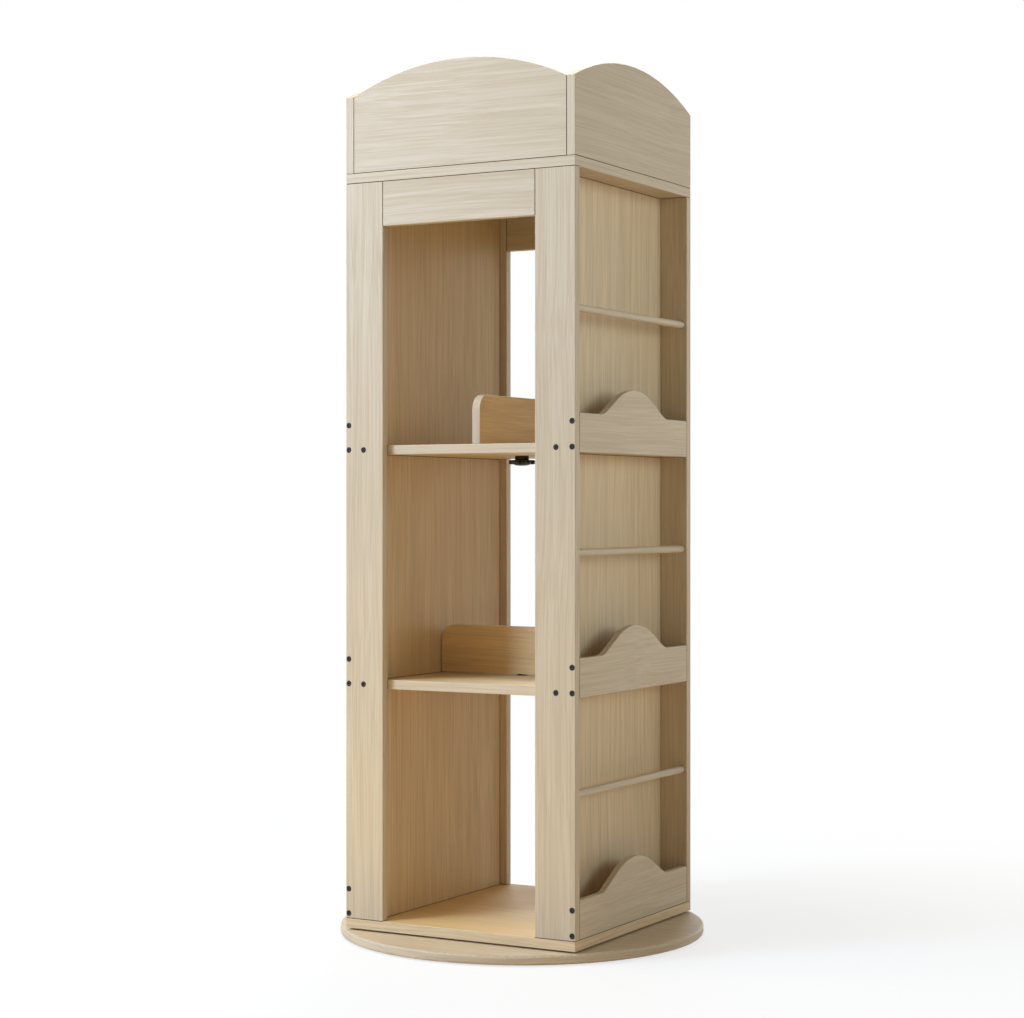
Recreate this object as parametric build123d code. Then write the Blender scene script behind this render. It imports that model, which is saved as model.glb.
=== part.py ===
from build123d import *
import math
import os

# Revolving bookcase of wood-grain board: a square case that turns on a round base.
# Millimetres, Z up. The origin is on the floor on the turning axis, and the front faces -Y.

# Case plan and board sizes
case_width = 350.0
case_depth = 350.0
stile_width = 58.7
stile_thickness = 12.5
end_board_thickness = 13.5
shelf_thickness = 12.5
header_height = 60.0
header_thickness = 12.5
edge_break = 0.6

# Clear heights of the three tiers
bottom_tier = 310.5
middle_tier = 303.0
top_tier = 353.5

# Arched crown boards
crown_thickness = 12.5
crown_end_height = 103.0
crown_rise = 37.5

# Side pockets: thin panels in grooves, lips with a bell-shaped hump, and round rods
panel_thickness = 6.5
panel_groove_depth = 4.0
pocket_width = 31.7
lip_thickness = 9.0
lip_height = 50.5
hump_rise = 35.5
hump_flank_angle = 28.5
hump_crest_radius = 110.0
hump_foot_radius = 30.0
rod_diameter = 10.0
rod_inset = 8.5
rod_rise = 186.0
rod_seat_depth = 8.0

# Swivel dividers and what they turn on
divider_thickness = 12.0
divider_height = 66.0
divider_corner_radius = 20.0
divider_swing_clearance = 1.4
washer_diameter = 14.0
washer_thickness = 1.3
swivel_clearance = 0.1
insert_diameter = 9.0
insert_length = 13.0

# Clamp knobs
stud_diameter = 6.0
stud_reach_in_knob = 9.0
stud_reach_in_divider = 10.0
stud_clearance = 0.3
stud_running_clearance = 0.05
knob_diameter = 36.0
knob_lobe_count = 6
knob_lobe_radius = 5.0
knob_lobe_start_angle = 30.0
knob_core_diameter = 26.0
knob_fillet_radius = 1.5
knob_edge_break = 0.6
knob_star_height = 6.0
knob_collar_diameter = 20.0
knob_collar_height = 5.5
knob_dome_diameter = 23.0
knob_dome_rise = 2.0

# Base disc and feet
disc_diameter = 500.0
disc_thickness = 12.5
disc_edge_radius = 3.0
turn_gap = 2.3
pad_diameter = 25.0
pad_thickness = 2.0
pad_circle_diameter = 440.0
pad_count = 8

# Ball turntable let into the disc
bearing_pitch_diameter = 180.0
bearing_recess_depth = 6.5
bearing_lift = 0.8
ring_width = 14.0
ring_recess_clearance = 0.5
race_gap = 1.6
ball_diameter = 5.0
ball_count = 24
ball_groove_clearance = 0.1
cage_thickness = 0.8
cage_height = 7.0

# Screws and dowels
snug = 0.05
case_screw_diameter = 4.5
case_screw_length = 40.0
case_screw_head_diameter = 7.6
case_screw_head_height = 2.4
case_screw_proud = 0.4
lip_screw_rise = 6.5
lip_screw_pitch = 33.0
shelf_screw_inset = 28.0
end_screw_diameter = 4.0
end_screw_head_diameter = 8.0
end_screw_head_depth = 2.5
end_screw_length = 45.0
end_screw_inset = 15.0
end_screw_pitch = 21.0
ring_screw_diameter = 4.0
ring_screw_head_diameter = 7.5
ring_screw_head_depth = 2.2
ring_screw_count = 6
lower_ring_screw_grip = 6.0
upper_ring_screw_grip = 9.0
dowel_diameter = 6.0
dowel_cover = 1.5
header_dowel_inset = 12.0
crown_foot_dowel_inset = 90.0
crown_corner_dowel_inset = 25.0

# Levels from the floor up
disc_low = pad_thickness
disc_high = disc_low + disc_thickness
recess_floor = disc_high - bearing_recess_depth
case_low = disc_high + turn_gap
floor_high = case_low + end_board_thickness
lower_shelf_low = floor_high + bottom_tier
lower_shelf_high = lower_shelf_low + shelf_thickness
upper_shelf_low = lower_shelf_high + middle_tier
upper_shelf_high = upper_shelf_low + shelf_thickness
roof_low = upper_shelf_high + top_tier
roof_high = roof_low + end_board_thickness

# Plan positions, worked out for the right side (+X) and the rear (+Y)
half_width = case_width / 2
half_depth = case_depth / 2
stile_inner_x = half_width - stile_width
stile_inner_y = half_depth - stile_thickness
stile_middle_y = half_depth - stile_thickness / 2
header_middle_y = half_depth - header_thickness / 2
crown_middle_x = half_width - crown_thickness / 2
crown_middle_y = half_depth - crown_thickness / 2
lip_inner_x = half_width - lip_thickness
lip_middle_x = half_width - lip_thickness / 2
panel_outer_x = lip_inner_x - pocket_width
panel_inner_x = panel_outer_x - panel_thickness
shelf_screw_x = half_width - shelf_screw_inset
rod_x = half_width - rod_inset

# Each tier: floor and ceiling of the compartment, and the lower edge of its lip
tiers = {
    "top": (upper_shelf_high, roof_low, upper_shelf_low),
    "middle": (lower_shelf_high, upper_shelf_low, lower_shelf_low),
    "bottom": (floor_high, lower_shelf_low, floor_high),
}
shelves = {"upper": upper_shelf_low, "lower": lower_shelf_low}
divider_turns = {"upper": 90.0, "lower": 0.0}

# Turntable sizes shared by the rings, the cage, the balls and the recess
pitch_radius = bearing_pitch_diameter / 2
ring_height = bearing_recess_depth + turn_gap - bearing_lift
ball_level = (recess_floor + case_low) / 2
lower_ring_inner = pitch_radius + race_gap / 2
lower_ring_outer = lower_ring_inner + ring_width
upper_ring_outer = pitch_radius - race_gap / 2
upper_ring_inner = upper_ring_outer - ring_width
lower_ring_screw_circle = lower_ring_inner + ring_width / 2
upper_ring_screw_circle = upper_ring_inner + ring_width / 2

# Dowels stop short of the far face of the thinner board they enter
dowel_length = 2 * (min(end_board_thickness, crown_thickness) - dowel_cover)

# The dividers turn clear of the panels and the stiles
swing_radius = min(panel_inner_x, stile_inner_y) - divider_swing_clearance
divider_length = 2 * math.sqrt(swing_radius**2 - (divider_thickness / 2) ** 2)
divider_lift = washer_thickness + swivel_clearance

UPWARD = (Align.CENTER, Align.CENTER, Align.MIN)
DOWNWARD = (Align.CENTER, Align.CENTER, Align.MAX)


def block(x_span, y_span, z_span):
    """A sharp-edged block between the given limits."""
    spans = (x_span, y_span, z_span)
    sizes = [high - low for low, high in spans]
    middles = [(high + low) / 2 for low, high in spans]
    return Pos(*middles) * Box(*sizes)


def plank(x_span, y_span, z_span):
    """A board with eased edges between the given limits."""
    board = block(x_span, y_span, z_span)
    return chamfer(board.edges(), edge_break)


def peg(radius, length, start, direction):
    """A round pin that starts at a point and runs along a direction."""
    return Plane(origin=start, z_dir=direction) * Cylinder(radius, length, align=UPWARD)


def tube(outer_radius, inner_radius, height):
    """A plain ring that stands on z = 0."""
    outside = Cylinder(outer_radius, height, align=UPWARD)
    return outside - Cylinder(inner_radius, height, align=UPWARD)


def both_sides(shape):
    """A right-hand shape and its left-hand mirror image."""
    return [shape, mirror(shape, about=Plane.YZ)]


def both_ends(shape):
    """A rear shape and its front mirror image."""
    return [shape, mirror(shape, about=Plane.XZ)]


def four_corners(shape):
    """A right rear shape and its mirror images: right front, left rear, left front."""
    return [end for side in both_sides(shape) for end in both_ends(side)]


def case_screw(spot, play=0.0):
    """A round-headed stile screw on the rear face; with play it is the hole for the screw."""
    x, z = spot
    start = (x, half_depth + case_screw_proud, z)
    head = peg(case_screw_head_diameter / 2 + play, case_screw_head_height, start, (0, -1, 0))
    shank = peg(case_screw_diameter / 2 + play, case_screw_length + play, start, (0, -1, 0))
    return head + shank


def flat_screw(diameter, head_diameter, head_depth, length, play=0.0):
    """A countersunk screw down from z = 0; with play it is the hole for the screw."""
    head = Cone(diameter / 2 + play, head_diameter / 2 + play, head_depth, align=DOWNWARD)
    shank = Cylinder(diameter / 2 + play, length + play, align=DOWNWARD)
    return head + shank


def end_screw(play=0.0):
    """The countersunk screw that holds a stile's end."""
    return flat_screw(
        end_screw_diameter, end_screw_head_diameter, end_screw_head_depth, end_screw_length, play
    )


def ring_screw(length, play=0.0):
    """The countersunk screw that holds a turntable ring."""
    return flat_screw(
        ring_screw_diameter, ring_screw_head_diameter, ring_screw_head_depth, length, play
    )


def dowel(middle, direction, play=0.0):
    """A dowel centred on the joint it crosses; with play it is the hole for the dowel."""
    pin = Cylinder(dowel_diameter / 2 + play, dowel_length + 2 * play)
    return Plane(origin=middle, z_dir=direction) * pin


def lip_screw_spots(lip_low):
    """The two screws that hold one end of a lip."""
    first = lip_low + lip_screw_rise
    return [(lip_middle_x, first), (lip_middle_x, first + lip_screw_pitch)]


def shelf_screw_spot(shelf_low):
    """The screw that holds one corner of a shelf."""
    return (shelf_screw_x, shelf_low + shelf_thickness / 2)


def case_screws(play=0.0):
    """All screws of the right rear stile's face."""
    spots = [spot for tier in tiers.values() for spot in lip_screw_spots(tier[2])]
    spots += [shelf_screw_spot(low) for low in shelves.values()]
    return [case_screw(spot, play) for spot in spots]


def end_screw_places():
    """Where the screws enter the right rear stile's ends."""
    first = half_width - end_screw_inset
    return [(first, stile_middle_y), (first - end_screw_pitch, stile_middle_y)]


def base_screws(play=0.0):
    """Screws up through the bottom board into the right rear stile."""
    screw = Rot(180, 0, 0) * end_screw(play)
    return [Pos(x, y, case_low) * screw for x, y in end_screw_places()]


def roof_screws(play=0.0):
    """Screws down through the top board into the right rear stile, covered by the crown."""
    screw = end_screw(play)
    return [Pos(x, y, roof_high) * screw for x, y in end_screw_places()]


def header_dowels(play=0.0):
    """Dowels between the rear header and the right rear stile."""
    levels = (roof_low - header_dowel_inset, roof_low - header_height + header_dowel_inset)
    return [dowel((stile_inner_x, header_middle_y, z), (1, 0, 0), play) for z in levels]


def rear_crown_foot_dowel(play=0.0):
    """Dowel that holds the right half of the rear crown board's foot."""
    return dowel((half_width - crown_foot_dowel_inset, crown_middle_y, roof_high), (0, 0, 1), play)


def right_crown_foot_dowel(play=0.0):
    """Dowel that holds the rear half of the right crown board's foot."""
    return dowel((crown_middle_x, half_depth - crown_foot_dowel_inset, roof_high), (0, 0, 1), play)


def crown_corner_dowels(play=0.0):
    """Dowels from the rear crown board's end into the right crown board."""
    joint_x = half_width - crown_thickness
    levels = (crown_corner_dowel_inset, crown_end_height - crown_corner_dowel_inset)
    return [dowel((joint_x, crown_middle_y, roof_high + z), (1, 0, 0), play) for z in levels]


def pocket_rod(lip_low, play=0.0):
    """The right-hand rod of a tier, with both ends in the stiles; with play it is their seats."""
    half_length = stile_inner_y + rod_seat_depth + play
    start = (rod_x, -half_length, lip_low + rod_rise)
    return peg(rod_diameter / 2 + play, 2 * half_length, start, (0, 1, 0))


def stile():
    """The right rear stile, with its panel groove, rod seats and holes."""
    board = plank((stile_inner_x, half_width), (stile_inner_y, half_depth), (floor_high, roof_low))
    groove = block(
        (panel_inner_x - snug, panel_outer_x + snug),
        (stile_inner_y, stile_inner_y + panel_groove_depth),
        (floor_high, roof_low),
    )
    rod_seats = [pocket_rod(tier[2], snug) for tier in tiers.values()]
    end_holes = base_screws(snug) + roof_screws(snug)
    return board - [groove] - rod_seats - case_screws(snug) - end_holes - header_dowels(snug)


def header():
    """The rear header rail between the stiles, under the top board."""
    board = plank(
        (-stile_inner_x, stile_inner_x),
        (half_depth - header_thickness, half_depth),
        (roof_low - header_height, roof_low),
    )
    return board - [hole for pin in header_dowels(snug) for hole in both_sides(pin)]


def bottom_board():
    """The board that the stiles stand on, held to the upper ring of the turntable."""
    board = plank((-half_width, half_width), (-half_depth, half_depth), (case_low, floor_high))
    stile_holes = [hole for screw in base_screws(snug) for hole in four_corners(screw)]
    return board - stile_holes - upper_ring_screws(snug)


def top_board():
    """The board on the stiles, the floor of the crown tray."""
    board = plank((-half_width, half_width), (-half_depth, half_depth), (roof_low, roof_high))
    stile_holes = [hole for screw in roof_screws(snug) for hole in four_corners(screw)]
    feet = (rear_crown_foot_dowel(snug), right_crown_foot_dowel(snug))
    return board - stile_holes - [hole for foot in feet for hole in four_corners(foot)]


def arched_board(half_length):
    """A crown board along X on z = 0, its outer face on y = 0 and its top edge one arc."""
    ends = [(-half_length, crown_end_height), (half_length, crown_end_height)]
    sides = Polyline(ends[0], (-half_length, 0), (half_length, 0), ends[1])
    arch = ThreePointArc(ends[1], (0, crown_end_height + crown_rise), ends[0])
    board = extrude(Plane.XZ * make_face(sides + arch), crown_thickness)
    return chamfer(board.edges(), edge_break)


def rear_crown():
    """The rear crown board, between the side ones."""
    board = Pos(0, half_depth, roof_high) * arched_board(half_width - crown_thickness)
    pins = crown_corner_dowels(snug) + [rear_crown_foot_dowel(snug)]
    return board - [hole for pin in pins for hole in both_sides(pin)]


def right_crown():
    """The right crown board, over the full depth of the case."""
    board = Pos(half_width, 0, roof_high) * Rot(0, 0, -90) * arched_board(half_depth)
    pins = crown_corner_dowels(snug) + [right_crown_foot_dowel(snug)]
    return board - [hole for pin in pins for hole in both_ends(pin)]


def shelf(shelf_low):
    """A shelf from lip to lip between the stiles, with the clamp stud's hole in its middle."""
    board = plank(
        (-lip_inner_x, lip_inner_x),
        (-stile_inner_y, stile_inner_y),
        (shelf_low, shelf_low + shelf_thickness),
    )
    corner_holes = four_corners(case_screw(shelf_screw_spot(shelf_low), snug))
    stud_hole = peg(stud_diameter / 2 + stud_clearance, shelf_thickness, (0, 0, shelf_low), (0, 0, 1))
    return board - corner_holes - [stud_hole]


def side_panel(floor, ceiling):
    """The right-hand panel of a tier, its edges in the stiles' grooves."""
    reach = stile_inner_y + panel_groove_depth - snug
    return plank((panel_inner_x, panel_outer_x), (-reach, reach), (floor, ceiling))


def lip_half_outline():
    """Half of a lip's outline: foot arc, straight flank and crest arc run into one another."""
    turn = math.radians(hump_flank_angle)
    crest_reach = hump_crest_radius * math.sin(turn)
    crest_drop = hump_crest_radius * (1 - math.cos(turn))
    foot_reach = hump_foot_radius * math.sin(turn)
    foot_climb = hump_foot_radius * (1 - math.cos(turn))
    flank_reach = (hump_rise - crest_drop - foot_climb) / math.tan(turn)
    hump_start = crest_reach + flank_reach + foot_reach
    edge = Polyline((0, 0), (stile_inner_y, 0), (stile_inner_y, lip_height), (hump_start, lip_height))
    foot = JernArc((hump_start, lip_height), (-1, 0), hump_foot_radius, -hump_flank_angle)
    flank = Line(foot @ 1, (crest_reach, lip_height + hump_rise - crest_drop))
    crest = JernArc(flank @ 1, flank % 1, hump_crest_radius, hump_flank_angle)
    return edge + foot + flank + crest


def pocket_lip(lip_low):
    """The right-hand lip of a tier, between the stiles and flush with the case's side."""
    half = lip_half_outline()
    outline = make_face(half + mirror(half, about=Plane.YZ))
    blank = extrude(Plane.YZ * outline, lip_thickness)
    board = Pos(lip_inner_x, 0, lip_low) * chamfer(blank.edges(), edge_break)
    screws = [case_screw(spot, snug) for spot in lip_screw_spots(lip_low)]
    return board - [hole for screw in screws for hole in both_ends(screw)]


def divider_insert(play=0.0):
    """The threaded insert in a divider's lower edge; with play it is the hole for the insert."""
    body = Cylinder(insert_diameter / 2 + play, insert_length + play, align=UPWARD)
    if play:
        return body
    bore = Cylinder(stud_diameter / 2 + stud_running_clearance, insert_length, align=UPWARD)
    return body - bore


def divider_board():
    """A swivel divider along X on z = 0, with rounded top corners."""
    outline = Rectangle(divider_length, divider_height, align=(Align.CENTER, Align.MIN))
    outline = fillet(outline.vertices().group_by(Axis.Y)[-1], divider_corner_radius)
    blank = extrude(Plane.XZ * outline, divider_thickness / 2, both=True)
    return chamfer(blank.edges(), edge_break) - divider_insert(snug)


def pivot_washer():
    """The thin washer that a divider turns on, on z = 0."""
    return tube(washer_diameter / 2, stud_diameter / 2 + stud_clearance, washer_thickness)


def clamp_stud(play=0.0):
    """A knob's stud, up from inside the knob into the divider, with the knob's top on z = 0."""
    length = stud_reach_in_knob + swivel_clearance + shelf_thickness + divider_lift + stud_reach_in_divider
    start = (0, 0, -stud_reach_in_knob - play)
    return peg(stud_diameter / 2 + play, length + play, start, (0, 0, 1))


def clamp_knob():
    """A star knob under its shelf: collar, lobed plate and domed underside, its top on z = 0."""
    lobe_circle = knob_diameter / 2 - knob_lobe_radius
    lobes = PolarLocations(lobe_circle, knob_lobe_count, start_angle=knob_lobe_start_angle)
    star = Circle(knob_core_diameter / 2) + lobes * Circle(knob_lobe_radius)
    star = fillet(star.vertices(), knob_fillet_radius)
    plate = extrude(star, -knob_star_height)
    flat_faces = plate.faces().filter_by(GeomType.PLANE)
    plate = Pos(0, 0, -knob_collar_height) * chamfer(flat_faces.edges(), knob_edge_break)
    collar = Cylinder(knob_collar_diameter / 2, knob_collar_height, align=DOWNWARD)
    dome_radius = knob_dome_diameter / 2
    dome_top = -knob_collar_height - knob_star_height
    cap_radius = (dome_radius**2 + knob_dome_rise**2) / (2 * knob_dome_rise)
    ball = Pos(0, 0, dome_top - knob_dome_rise + cap_radius) * Sphere(cap_radius)
    dome = ball & (Pos(0, 0, dome_top) * Cylinder(dome_radius, knob_dome_rise, align=DOWNWARD))
    return collar + plate + dome - clamp_stud(snug)


def base_disc():
    """The round base with a rounded rim and the turntable's ring-shaped recess."""
    disc = Cylinder(disc_diameter / 2, disc_thickness, align=UPWARD)
    disc = Pos(0, 0, disc_low) * fillet(disc.edges().filter_by(GeomType.CIRCLE), disc_edge_radius)
    recess_outer = lower_ring_outer + ring_recess_clearance
    recess_inner = upper_ring_inner - ring_recess_clearance
    recess = Pos(0, 0, recess_floor) * tube(recess_outer, recess_inner, bearing_recess_depth)
    return disc - recess - lower_ring_screws(snug)


def foot_pads():
    """Round pads under the disc: a circle of them near the rim and one in the middle."""
    pad = Cylinder(pad_diameter / 2, pad_thickness, align=UPWARD)
    return [pad] + [place * pad for place in PolarLocations(pad_circle_diameter / 2, pad_count)]


def ball_groove():
    """The round groove that the balls run in, shared by both rings."""
    groove_radius = ball_diameter / 2 + ball_groove_clearance
    return Pos(0, 0, ball_level) * Torus(pitch_radius, groove_radius)


def lower_ring_screws(play=0.0):
    """Screws up through the disc into the lower ring."""
    length = recess_floor - disc_low + lower_ring_screw_grip
    screw = Pos(0, 0, disc_low) * Rot(180, 0, 0) * ring_screw(length, play)
    return [place * screw for place in PolarLocations(lower_ring_screw_circle, ring_screw_count)]


def upper_ring_screws(play=0.0):
    """Screws up through the upper ring into the bottom board."""
    screw_low = case_low - ring_height
    screw = Pos(0, 0, screw_low) * Rot(180, 0, 0) * ring_screw(ring_height + upper_ring_screw_grip, play)
    return [place * screw for place in PolarLocations(upper_ring_screw_circle, ring_screw_count)]


def lower_ring():
    """The outer, fixed ring of the turntable, on the floor of the recess."""
    ring = Pos(0, 0, recess_floor) * tube(lower_ring_outer, lower_ring_inner, ring_height)
    return ring - ball_groove() - lower_ring_screws(snug)


def upper_ring():
    """The inner, turning ring of the turntable, against the bottom board."""
    ring = Pos(0, 0, case_low - ring_height) * tube(upper_ring_outer, upper_ring_inner, ring_height)
    return ring - ball_groove() - upper_ring_screws(snug)


def round_the_race(shape):
    """Copies of a shape at every ball's place."""
    places = PolarLocations(pitch_radius, ball_count, start_angle=180 / ball_count)
    return [place * Pos(0, 0, ball_level) * shape for place in places]


def balls():
    """The balls between the rings."""
    return round_the_race(Sphere(ball_diameter / 2))


def ball_cage():
    """The thin band that keeps the balls apart, in the gap between the rings."""
    half_band = cage_thickness / 2
    band = tube(pitch_radius + half_band, pitch_radius - half_band, cage_height)
    pocket = Rot(0, 90, 0) * Cylinder(ball_diameter / 2 + snug, race_gap)
    return Pos(0, 0, ball_level - cage_height / 2) * band - round_the_race(pocket)


pieces = {
    "base_disc": base_disc(),
    "foot_pads": foot_pads(),
    "bearing_lower_ring": lower_ring(),
    "bearing_lower_screws": lower_ring_screws(),
    "bearing_cage": ball_cage(),
    "bearing_balls": balls(),
    "bearing_upper_ring": upper_ring(),
    "bearing_upper_screws": upper_ring_screws(),
    "bottom_board": bottom_board(),
    "top_board": top_board(),
}

corner_names = ("right_rear", "right_front", "left_rear", "left_front")
for corner, board in zip(corner_names, four_corners(stile())):
    pieces[f"stile_{corner}"] = board
for end, board in zip(("rear", "front"), both_ends(header())):
    pieces[f"header_{end}"] = board
for end, board in zip(("rear", "front"), both_ends(rear_crown())):
    pieces[f"crown_{end}"] = board
for side, board in zip(("right", "left"), both_sides(right_crown())):
    pieces[f"crown_{side}"] = board

for tier, (floor, ceiling, lip_low) in tiers.items():
    right_hand = {
        "side_panel": side_panel(floor, ceiling),
        "pocket_lip": pocket_lip(lip_low),
        "pocket_rod": pocket_rod(lip_low),
    }
    for kind, shape in right_hand.items():
        for side, copy in zip(("right", "left"), both_sides(shape)):
            pieces[f"{kind}_{side}_{tier}"] = copy

for level, shelf_low in shelves.items():
    shelf_high = shelf_low + shelf_thickness
    turned = Pos(0, 0, shelf_high + divider_lift) * Rot(0, 0, divider_turns[level])
    below = Pos(0, 0, shelf_low - swivel_clearance)
    pieces[f"{level}_shelf"] = shelf(shelf_low)
    pieces[f"{level}_divider"] = turned * divider_board()
    pieces[f"{level}_divider_insert"] = turned * divider_insert()
    pieces[f"{level}_pivot_washer"] = Pos(0, 0, shelf_high) * pivot_washer()
    pieces[f"{level}_knob"] = below * clamp_knob()
    pieces[f"{level}_knob_stud"] = below * clamp_stud()

fastener_corners = {
    "stile_screws": case_screws(),
    "base_screws": base_screws(),
    "roof_screws": roof_screws(),
    "header_dowels": header_dowels(),
    "crown_foot_dowels": [rear_crown_foot_dowel(), right_crown_foot_dowel()],
    "crown_corner_dowels": crown_corner_dowels(),
}
for name, corner in fastener_corners.items():
    pieces[name] = [copy for fastener in corner for copy in four_corners(fastener)]

os.makedirs("parts", exist_ok=True)
for name, shape in pieces.items():
    node = Compound(shape) if isinstance(shape, list) else shape
    export_step(node, os.path.join("parts", f"{name}.step"))
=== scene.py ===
import itertools
import math

import bmesh
import bpy
from mathutils import Matrix, Vector


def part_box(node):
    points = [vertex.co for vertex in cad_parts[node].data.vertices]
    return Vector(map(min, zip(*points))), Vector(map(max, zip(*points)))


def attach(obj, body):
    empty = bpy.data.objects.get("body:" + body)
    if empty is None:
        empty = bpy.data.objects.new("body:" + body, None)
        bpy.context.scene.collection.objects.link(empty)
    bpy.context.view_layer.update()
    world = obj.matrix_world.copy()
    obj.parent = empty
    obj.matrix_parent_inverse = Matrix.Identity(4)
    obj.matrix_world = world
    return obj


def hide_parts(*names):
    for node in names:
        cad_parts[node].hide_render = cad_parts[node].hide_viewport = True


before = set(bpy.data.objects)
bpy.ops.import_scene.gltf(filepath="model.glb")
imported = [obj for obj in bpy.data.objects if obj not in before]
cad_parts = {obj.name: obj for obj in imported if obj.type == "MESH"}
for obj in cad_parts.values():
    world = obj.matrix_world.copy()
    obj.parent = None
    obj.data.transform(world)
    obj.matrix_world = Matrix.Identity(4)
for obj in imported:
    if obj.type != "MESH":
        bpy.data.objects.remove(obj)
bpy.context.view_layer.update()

bl_info = {
    "name": "Revolving Bookcase",
    "version": (1, 0, 0),
    "blender": (4, 5, 0),
    "location": "3D View > Sidebar > Bookcase",
    "description": "Wood finishes, fasteners, clamp knobs and studio of a revolving bookcase",
    "category": "Object",
}

MM = 0.001

SIDES = ("right", "left")
ENDS = ("rear", "front")
TIERS = ("top", "middle", "bottom")
LEVELS = ("upper", "lower")
CORNERS = tuple(f"{side}_{end}" for side, end in itertools.product(SIDES, ENDS))
POCKETS = tuple(f"{side}_{tier}" for side, tier in itertools.product(SIDES, TIERS))

# Tints of broad faces and of edges, per board family: partly the boards' own tone and partly
# painted light, warm bounce light and shade laid into the colour; the two bright tints lift edges
# that fall in shade
PLAIN = (1.0, 1.0, 1.0)
PALE_HONEY_PAINTED_LIGHT = (1.01, 0.99, 0.94)
HONEY_PAINTED_LIGHT = (1.04, 0.95, 0.75)
WARM_HONEY_PAINTED_LIGHT = (1.15, 1.08, 0.93)
DEEP_HONEY_PAINTED_LIGHT = (1.21, 1.01, 0.62)
GOLDEN_PAINTED_LIGHT = (1.16, 0.97, 0.62)
LIGHT_GOLDEN_PAINTED_LIGHT = (1.34, 1.14, 0.78)
BRIGHT_PAINTED_LIGHT = (1.06, 1.06, 1.05)
WARM_BRIGHT_PAINTED_LIGHT = (1.24, 1.15, 0.98)

AXES = {"X": (1.0, 0.0, 0.0), "Y": (0.0, 1.0, 0.0), "Z": (0.0, 0.0, 1.0)}
# Turns that bring a board's grain onto the texture's own X axis
GRAIN_TURNS = {"X": (0.0, 0.0, 0.0), "Y": (0.0, 0.0, -math.pi / 2), "Z": (0.0, math.pi / 2, 0.0)}

# A face looks along an axis when the cosine between them is above this
FACING_LIMIT = 0.72

# Shares of the layers over a board's colour, and the depth of its grain in metres
FIBRE_SHARE, STREAK_SHARE, PORE_SHARE = 0.30, 0.18, 0.12
# The joint layer is painted shade, laid where an occlusion test finds joints and corners
RUB_AND_HIGHLIGHT_SHARE, DUST_SHARE, PAINTED_JOINT_SHADE_SHARE = 0.35, 0.08, 1.0
# Share of the painted joint shade in plain inside corners
CORNER_SHARE = 0.35
GRAIN_DEPTH = -0.00005
# Lighter and darker boards of one family, in turn
BOARD_SHADES = (1.0, 0.985, 1.01)

# Steps round the lofted forms, and the first rings of a stile screw, which form its socket
SCREW_SEGMENTS = 36
KNOB_SEGMENTS = 144
SOCKET_RINGS = 4
# A screw's blunt point: its length, and its end's share of the shank
POINT_LENGTH = 2.0 * MM
POINT_SHARE = 0.25
SHARP_ANGLE = math.radians(30.0)

# Softboxes: name, setting with the power, place, target, size and spread in degrees
LAMPS = (
    ("key_softbox", "key_light", (-2.05, -2.65, 1.7), (0.0, -0.1, 0.4), 1.0, 180.0),
    ("bounce_panel", "bounce_light", (-0.25, -0.75, 0.02), (-0.25, -0.75, 1.0), 0.9, 180.0),
    ("side_softbox", "side_light", (2.4, 0.1, 1.3), (0.2, 0.0, 1.0), 1.8, 60.0),
    ("top_softbox", "top_light", (-0.7, -0.7, 3.0), (0.0, 0.0, 1.0), 1.5, 180.0),
    ("back_softbox", "back_light", (-1.0, 2.4, 2.4), (0.0, 0.2, 0.8), 1.2, 180.0),
    ("rear_softbox", "rear_light", (0.5, 3.0, 0.9), (0.0, 0.0, 0.6), 1.5, 180.0),
)


def node_size(node):
    """The three lengths of a CAD node's box."""
    low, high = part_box(node)
    return high - low


# Settings that a user would change

class BookcaseWood(bpy.types.PropertyGroup):
    """Colours and figure of the wood-grain boards."""

    pale: bpy.props.FloatVectorProperty(
        name="Pale wood", description="Lightest bands of the board's print",
        subtype="COLOR", min=0.0, max=1.0, default=(0.692, 0.576, 0.418),
    )
    body: bpy.props.FloatVectorProperty(
        name="Body wood", description="Main colour of the board's print",
        subtype="COLOR", min=0.0, max=1.0, default=(0.650, 0.530, 0.372),
    )
    streak: bpy.props.FloatVectorProperty(
        name="Streaks", description="Darker fibre lines of the print",
        subtype="COLOR", min=0.0, max=1.0, default=(0.480, 0.352, 0.212),
    )
    pore: bpy.props.FloatVectorProperty(
        name="Pores", description="Short dark pores between the fibres",
        subtype="COLOR", min=0.0, max=1.0, default=(0.330, 0.222, 0.118),
    )
    # Lighter eased edges: partly rubbing wear and partly painted highlight where edges catch the
    # light
    edge: bpy.props.FloatVectorProperty(
        name="Rubbed edges", description="Colour of the eased edges where hands rub them",
        subtype="COLOR", min=0.0, max=1.0, default=(0.730, 0.622, 0.470),
    )
    # Painted shade: colour laid into joints and inside corners that an occlusion test finds shaded
    joint: bpy.props.FloatVectorProperty(
        name="Joint shade", description="Colour deep in the joints between boards",
        subtype="COLOR", min=0.0, max=1.0, default=(0.090, 0.046, 0.017),
    )
    dust: bpy.props.FloatVectorProperty(
        name="Dust", description="Colour of the film of dust on level faces",
        subtype="COLOR", min=0.0, max=1.0, default=(0.600, 0.560, 0.500),
    )
    fibre_width: bpy.props.FloatProperty(
        name="Fibre width", description="Width of one fibre line across the grain",
        unit="LENGTH", min=0.0003, max=0.02, default=0.0023,
    )
    band_width: bpy.props.FloatProperty(
        name="Band width", description="Width of one tone band across the grain",
        unit="LENGTH", min=0.002, max=0.2, default=0.014,
    )
    joint_reach: bpy.props.FloatProperty(
        name="Joint reach", description="How far from a joint the shade spreads",
        unit="LENGTH", min=0.0002, max=0.02, default=0.0014,
    )
    roughness: bpy.props.FloatProperty(
        name="Roughness", description="Roughness of the satin board face",
        subtype="FACTOR", min=0.0, max=1.0, default=0.5,
    )


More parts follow.
